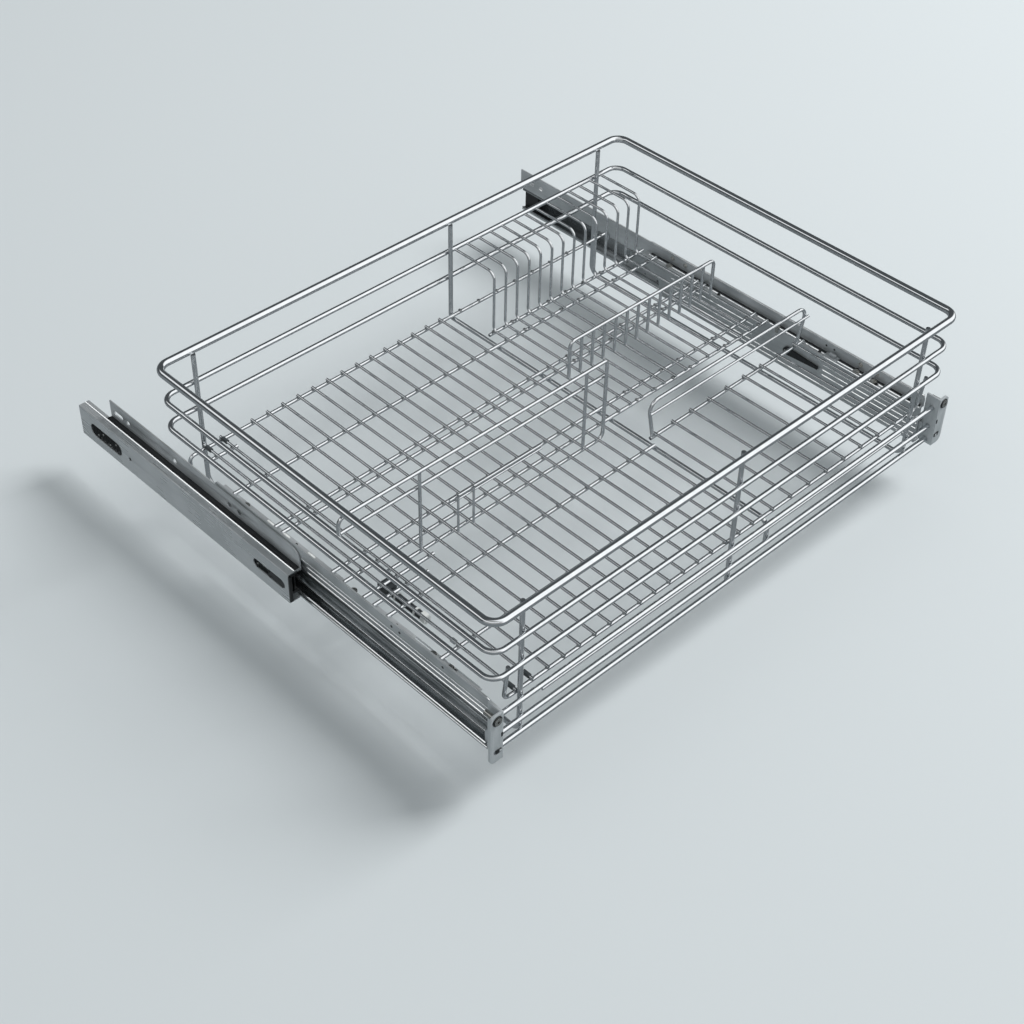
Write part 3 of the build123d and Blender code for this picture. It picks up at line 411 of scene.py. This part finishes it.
# Guards, buffers, stops, sleeves and levers: black acetal, injection moulded, with a fine
# matt texture from the mould. The sleeves on the end wires are a softer dark grey plastic.
mould_grain = 0.5 * MM


def mottle(started, size, detail, tones, roughness, relief=None):
    """Vary a started material's tone, roughness and any relief together, in grains of one size."""
    material, tree, shader, place = started
    grain = add_node(tree, "ShaderNodeTexNoise", {"Scale": 1 / size, "Detail": detail},
                     {"Vector": place})
    tone = add_node(tree, "ShaderNodeValToRGB", None, {"Fac": grain.outputs["Fac"]})
    for stop, code in zip(tone.color_ramp.elements, tones):
        stop.color = srgb(code)
    tree.links.new(tone.outputs["Color"], shader.inputs["Base Color"])
    gloss = add_node(tree, "ShaderNodeMapRange", {"To Min": roughness[0], "To Max": roughness[1]},
                     {"Value": grain.outputs["Fac"]})
    tree.links.new(gloss.outputs["Result"], shader.inputs["Roughness"])
    if relief:
        strength, depth = relief
        bump = add_node(tree, "ShaderNodeBump", {"Strength": strength, "Distance": depth},
                        {"Height": grain.outputs["Fac"]})
        tree.links.new(bump.outputs["Normal"], shader.inputs["Normal"])
    return material


def moulded(name, dark, light, roughness):
    """Moulded plastic with an even fine grain."""
    return mottle(start_material(name, {"IOR": 1.48}), mould_grain, 2.0, (dark, light),
                  (roughness - 0.08, roughness + 0.08), relief=(0.2, 0.03 * MM))


black_acetal = moulded("black_moulded_acetal", "121517", "202426", 0.36)
dress(both("rail_guard") + both("intermediate_stop") + both("release_lever"), black_acetal)
soft_grey = moulded("dark_grey_soft_sleeve", "3A3F42", "4A5053", 0.5)
dress(["wire_sleeves"], soft_grey)

# Rear buffers: the plug in each rear slot is set back and ribbed, so that it gives when the
# drawer runs home against it. Ribs and small pins fill the front slots in the same way.
plug_face, set_back = 331.7 * MM, 1.0 * MM
buffers = start_formed("rear_buffers")
for vertex in buffers.data.vertices:
    if abs(vertex.co.x) > plug_face:
        vertex.co.x -= math.copysign(set_back, vertex.co.x)
finish_formed(buffers, "rear_buffers", 0.0, "cabinet_side", black_acetal)


def add_peg(place, axis, radius, length, vertices=12, edge=0.15):
    """A short round peg in mm, centred at a place along one axis, with its rims broken."""
    bpy.ops.object.select_all(action="DESELECT")
    turn = {"x": (0, math.pi / 2, 0), "y": (math.pi / 2, 0, 0), "z": (0, 0, 0)}[axis]
    bpy.ops.mesh.primitive_cylinder_add(vertices=vertices, radius=radius * MM, depth=length * MM,
                                        location=[c * MM for c in place], rotation=turn)
    peg = settle()
    if edge:
        for face in peg.data.polygons:
            face.select = len(face.vertices) > 4
        bpy.ops.object.mode_set(mode="EDIT")
        bpy.ops.mesh.bevel(offset=edge * MM, segments=1, affect="EDGES")
        bpy.ops.object.mode_set(mode="OBJECT")
    return peg


ribs = []
pins = []
rear_s, rear_start, rear_pitch, rear_ribs = 330.9, 280.0, 3.2, 16
front_s, front_start, front_pitch, front_ribs = 331.1, 10.5, 3.3, 13
front_pin_s = 331.2
# The first cabinet screw goes in at Y = 37 mm, so the ribs leave room round it.
screw_y, screw_room = 37.0, 5.0
for end, side in sides:
    for i in range(rear_ribs):
        middle = (side * rear_s, rear_start + rear_pitch * i, 1.6 if i % 2 else -1.2)
        ribs.append(add_peg(middle, "z", radius=0.75, length=10.0 if i % 3 else 12.8,
                            vertices=8, edge=0))
    for y, z in ((286.0, 3.4), (297.5, -3.6), (309.0, 3.0), (318.5, -2.6)):
        pins.append(add_peg((side * rear_s, y, z), "x", radius=1.3, length=1.8))
    for i in range(front_ribs):
        y = front_start + front_pitch * i
        if abs(y - screw_y) > screw_room:
            middle = (side * front_s, y, 0.6 if i % 2 else -0.6)
            ribs.append(add_peg(middle, "z", radius=0.6, length=7.6 if i % 3 else 9.4,
                                vertices=8, edge=0))
    for y, z in ((15.0, 1.6), (26.5, -1.4), (48.0, 1.0)):
        pins.append(add_peg((side * front_pin_s, y, z), "x", radius=1.0, length=1.2))
join_pieces("buffer_ribs", ribs, "cabinet_side", black_acetal)

# Painted shadow strips: black strips lie on each cabinet rail's top beside its side plate and fill
# the gap between them, standing in for the dark shade down in that gap. A small bead runs along
# each.


def add_block(x, half, y_run, z_run, edge):
    """A block in mm with rounded edges: its middle and half width in X, its runs in Y and Z."""
    bpy.ops.object.select_all(action="DESELECT")
    size = (2 * half, y_run[1] - y_run[0], z_run[1] - z_run[0])
    middle = (x, sum(y_run) / 2, sum(z_run) / 2)
    bpy.ops.mesh.primitive_cube_add(size=1.0, scale=[c * MM for c in size],
                                    location=[c * MM for c in middle])
    block = settle()
    bpy.ops.object.mode_set(mode="EDIT")
    bpy.ops.mesh.bevel(offset=edge * MM, segments=2, affect="EDGES")
    bpy.ops.object.mode_set(mode="OBJECT")
    return block


# The left strip ends with its side plate, before its rail does.
for end, side, low_y, high_y in (("_left", -1, 0.6, 311.0), ("_right", 1, 0.6, 349.4)):
    # Each strip is painted shadow: black, where the gap shows only shade.
    strip = add_block(side * 319.8, half=2.8, y_run=(low_y, high_y), z_run=(18.95, 19.9), edge=0.3)
    bead_run = (low_y + 0.4, high_y - 0.4)
    bead = add_bar(side * 320.6, bead_run, z=19.95, radius=0.45, turn=9.0)
    join_pieces("painted_shadow_strip" + end, [strip, bead], "cabinet_side", black_acetal)

# Front connectors: zinc die castings with a silver-grey powder coat, finely pebbled. Each holds
# a black adjusting ring, a latch and a stop, and the latch has a small cast tab.
powder_pebble = 0.9 * MM
grey_powder = mottle(
    start_material("silver_grey_powder_coat", {
        "Metallic": 0.35, "Coat Weight": 0.2, "Coat Roughness": 0.3}),
    powder_pebble, 3.0, ("B4BABD", "CDD2D4"), (0.32, 0.48), relief=(0.15, 0.05 * MM))
tongue_end = -259.0 * MM
for end, side in sides:
    connector = start_formed("front_connector" + end)
    for vertex in connector.data.vertices:
        if vertex.co.y > tongue_end:
            vertex.co.y = tongue_end
    finish_formed(connector, "front_connector" + end, 0.5, "drawer", grey_powder)
    ring = add_peg((side * 323.5, -279.7, 37.5), "y", radius=5.6, length=1.2, vertices=24)
    latch = add_block(side * 321.3, half=3.4, y_run=(-280.3, -278.6), z_run=(-5.4, -0.9), edge=0.4)
    stop = add_block(side * 317.4, half=1.0, y_run=(-280.0, -278.9), z_run=(13.5, 18.5), edge=0.3)
    join_pieces("connector_fittings" + end, [ring, latch, stop], "drawer",
                black_acetal)
    tab = add_block(side * 319.8, half=1.2, y_run=(-280.9, -280.1), z_run=(-3.9, -1.5), edge=0.3)
    join_pieces("connector_tab" + end, [tab], "drawer", grey_powder)

# Screws, pins and rivets: nickel-plated steel, turned and then tumbled, so that its gloss is
# broken up in small marks.
tumbled_mark = 0.8 * MM
nickel = mottle(start_material("turned_nickel_plate", {"Metallic": 1.0}), tumbled_mark, 2.0,
                ("9A9B98", "C2C2BE"), (0.18, 0.34))
dress(["screws", "lever_pins"], nickel)
join_pieces("buffer_pins", pins, "cabinet_side", nickel)
# Each rivet has a wide head and a narrower raised middle.
rivets = []
wall_row = 36.5
for y in (-178.2, -199.7, 75.9, 95.7):
    rivets.append(add_peg((313.1, y, wall_row), "x", radius=2.8, length=0.9, vertices=20, edge=0.2))
    rivets.append(add_peg((312.7, y, wall_row), "x", radius=1.5, length=0.9, vertices=14, edge=0.3))
join_pieces("bracket_rivets_right", rivets, "drawer", nickel)

# Damper: a dark nylon cylinder in a clamp of the same plastic, with a bright rod. Its front cap,
# two rings and the foot on top are natural white nylon.
dark_nylon = moulded("dark_grey_nylon", "2A2E30", "3B4043", 0.42)
dress(["damper_cylinder", "damper_clamp"], dark_nylon)
white_nylon = moulded("natural_white_nylon", "D9DCDA", "EEF0EE", 0.34)


def add_sleeve(place, inner, outer, length):
    """A short open sleeve along Y, given its wall by a Solidify modifier."""
    bpy.ops.object.select_all(action="DESELECT")
    bpy.ops.mesh.primitive_cylinder_add(
        vertices=20, radius=inner * MM, depth=length * MM, end_fill_type="NOTHING",
        location=[c * MM for c in place], rotation=(math.pi / 2, 0, 0))
    sleeve = settle()
    wall = sleeve.modifiers.new("wall", "SOLIDIFY")
    wall.thickness = (outer - inner) * MM
    wall.offset = 1.0
    bpy.ops.object.modifier_apply(modifier=wall.name)
    return sleeve


damper_x, damper_z = -277.5, 23.65
rod_hole, cylinder_fit = 1.8, 4.05
fittings = [add_sleeve((damper_x, y, damper_z), inner, outer, length)
            for y, inner, outer, length in (
                (-137.0, rod_hole, 4.5, 1.8), (-134.2, cylinder_fit, 4.6, 4.4),
                (-123.0, cylinder_fit, 4.6, 2.4), (-96.0, cylinder_fit, 4.6, 2.0))]
fittings.append(add_block(damper_x, half=3.0, y_run=(-137.6, -130.5), z_run=(27.9, 29.4),
                          edge=0.5))
join_pieces("damper_rings", fittings, "drawer", white_nylon)

# Bracket fittings: each bracket has black buttons in its top and wall, a small zinc catch plate
# and a black strip along its top. All of them are snapped or riveted through the sheet.
# The left one also has three white clips that grip the rods.
top_row, button_height = 30.2, 1.8
clip_x, clip_half = -308.0, 5.0
for end, side in sides:
    buttons = [add_peg((side * s, y, top_row), "z", radius, button_height, edge=0.3)
               for s, y, radius in (
                   (305.6, -206.0, 1.8), (307.4, -192.0, 1.3), (311.4, -176.0, 1.6),
                   (306.8, -128.0, 1.8), (309.5, -64.0, 1.5), (306.2, 18.0, 1.8),
                   (310.2, 74.0, 1.5))]
    buttons += [add_peg((side * 314.2, y, wall_row), "x", 1.6, button_height, edge=0.3)
                for y in (-200.0, -142.0, -131.0)]
    join_pieces("bracket_buttons" + end, buttons, "drawer", black_acetal)
    plate = add_block(side * 307.5, half=4.5, y_run=(-152.0, -135.0), z_run=(29.55, 31.2), edge=0.5)
    lug = add_block(side * 308.5, half=2.0, y_run=(-149.0, -140.0), z_run=(31.0, 34.5), edge=0.8)
    join_pieces("catch_plate" + end, [plate, lug], "drawer", plate_zinc_painted_shade)
    seal = add_block(side * 310.9, half=1.6, y_run=(-260.0, 126.0), z_run=(29.6, 30.1), edge=0.15)
    join_pieces("bracket_seal" + end, [seal], "drawer", black_acetal)
    if side < 0:
        clips = []
        for y in (34.0, 58.0, -4.0):
            clips.append(add_block(clip_x, half=4.0, y_run=(y - clip_half, y + clip_half),
                                   z_run=(29.55, 31.6), edge=0.6))
            clips.append(add_peg((clip_x, y, 32.2), "z", radius=2.4, length=2.4, vertices=16,
                                 edge=0.4))
        join_pieces("bracket_clips_left", clips, "drawer", white_nylon)

# Basket: round steel rod and wire, cut, bent, welded and then chromed all together. Bright
# chrome shows a slight ripple of the plating and a very fine peel.
plating_ripple = 7 * MM
plating_peel = 1.2 * MM
started = start_material("bright_chrome_plate", {"Metallic": 1.0})
chrome, tree, shader, place = started
mottle(started, plating_ripple, 3.0, ("C3C7CA", "DADDDF"), (0.06, 0.14))
peel = add_node(tree, "ShaderNodeTexNoise", {"Scale": 1 / plating_peel, "Detail": 1.0},
                {"Vector": place})
relief = add_node(tree, "ShaderNodeBump", {"Strength": 0.04, "Distance": 0.02 * MM},
                  {"Height": peel.outputs["Fac"]})
tree.links.new(relief.outputs["Normal"], shader.inputs["Normal"])
dress(["rim", "upper_ring", "lower_ring", "front_rods", "front_inner_rod", "front_post",
       "centre_frame", "front_floor_rod", "back_floor_rod", "cross_rods", "left_cross_rods",
       "right_cross_rods", "floor_wires", "end_wires", "compartment_wires", "rack_wires",
       "comb_hoop", "comb_wires", "guard_hoop", "guard_rail", "divider_hoop", "divider_rail",
       "divider_posts", "spoon_rest", "damper_rod"] + both("side_frame"), chrome)

# Weld nuggets: each floor wire is resistance-welded where it lies on a rod, and the squeezed
# metal stands round the joint as a small dull bead under the plating.
weld_scale = 1.0 * MM
weld_height = 33.6
weld_chrome = mottle(start_material("dull_plated_weld", {"Metallic": 1.0}), weld_scale, 2.0,
                     ("6A6E70", "A2A6A8"), (0.28, 0.5))
left_wires = [-284.8 + 20.0 * i for i in range(17)]
right_wires = [65.4 + 28.1 * i for i in range(9)]
front_rod = -261.4
through_rods = [-53.5, -35.8, 39.0, 49.9, 115.2, 189.8]
# Each row: wires by X and the rods by Y that they lie on. The short rods carry few wires.
welds = [(x, y) for wires, rods in (
    (left_wires, [front_rod, -187.8, -115.2] + through_rods),
    (left_wires[:3], [-95.7]),
    (left_wires[:4], [-81.5]),
    (left_wires[:2], [171.5]),
    (right_wires, [front_rod, -105.0, 135.5] + through_rods)) for x in wires for y in rods]
bpy.ops.object.select_all(action="DESELECT")
bpy.ops.mesh.primitive_ico_sphere_add(subdivisions=1, radius=1.0 * MM, scale=(2.5, 2.7, 1.7))
nugget = settle()
bpy.ops.object.mode_set(mode="EDIT")
bpy.ops.mesh.bevel(offset=0.3 * MM, segments=1, affect="EDGES")
bpy.ops.object.mode_set(mode="OBJECT")
nuggets = []
for x, y in welds:
    copy = bpy.data.objects.new("nugget", nugget.data.copy())
    copy.data.transform(Matrix.Translation((x * MM, y * MM, weld_height * MM)))
    bpy.context.scene.collection.objects.link(copy)
    nuggets.append(copy)
bpy.data.objects.remove(nugget)
join_pieces("weld_nuggets", nuggets, "drawer", weld_chrome, smooth=60)
